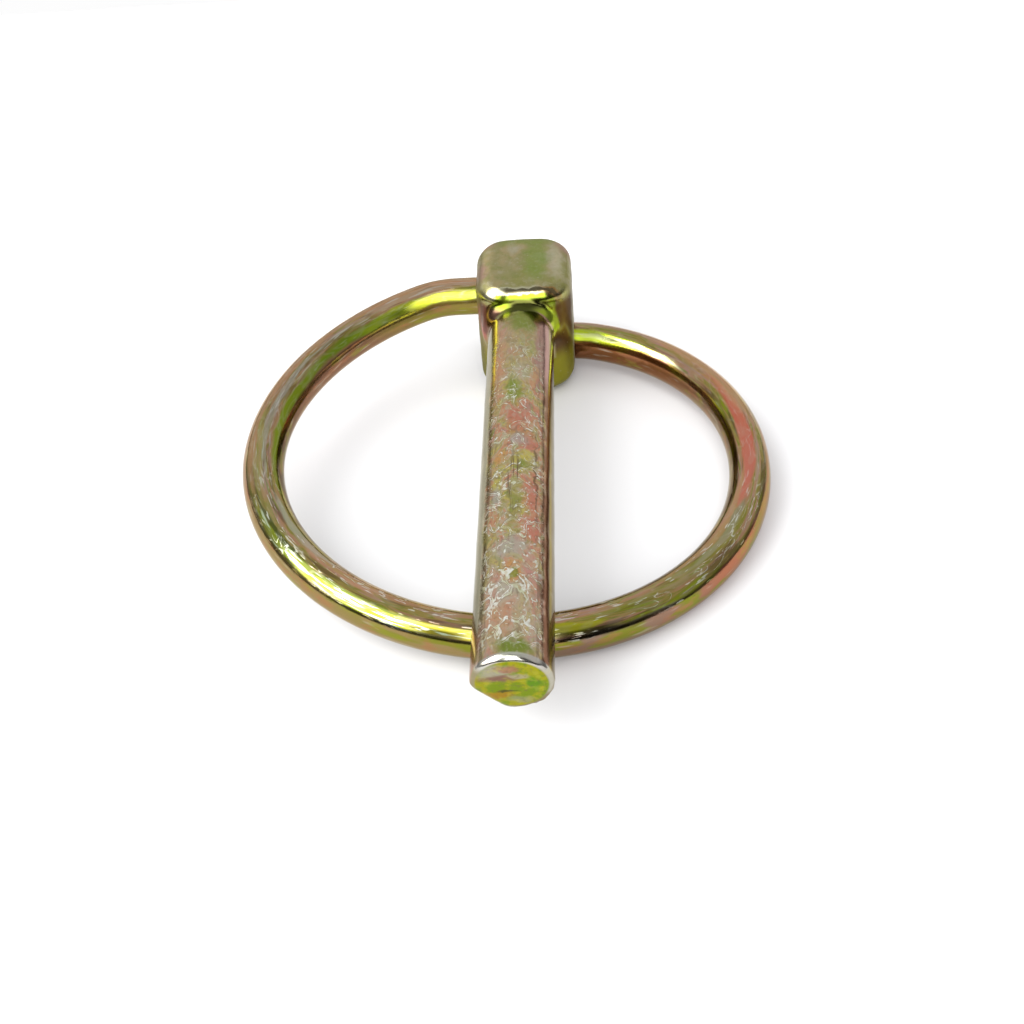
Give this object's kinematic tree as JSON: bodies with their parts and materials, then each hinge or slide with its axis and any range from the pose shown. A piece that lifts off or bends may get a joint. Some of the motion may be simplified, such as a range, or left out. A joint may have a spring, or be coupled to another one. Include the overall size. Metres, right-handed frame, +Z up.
{
  "type": "lynch pin",
  "caption": "Lynch pin: round steel pin with a block head, and a sprung wire ring that hinges in the head and snaps over the pin.",
  "frame": {"origin": "on the shank's axis, in the plane of the head's front face, where the shank leaves the head", "axes": "+Y along the shank from its tip to the head, +X across the head along its two holes, +Z up as it lies, so the closed ring's front is under the shank"},
  "size_m": [0.0448, 0.0556, 0.0117],
  "materials": {
    "pin_steel": "cold-forged steel, zinc plated and yellow chromate passivated, olive gold with pink and green patches and fine pale veins",
    "ring_steel": "drawn spring-steel wire, zinc plated and yellow chromate passivated, olive gold with pink streaks along the wire"
  },
  "bodies": {
    "pin": {"pin": "pin_steel"},
    "ring": {"ring": "ring_steel"}
  },
  "joints": [
    {"name": "ring_swing", "type": "hinge", "parent": "pin", "child": "ring", "pos_m": [0, 0.0053, -0.0017], "axis": [1, 0, 0], "range_deg": [0, 180], "deforming": ["ring"]}
  ]
}
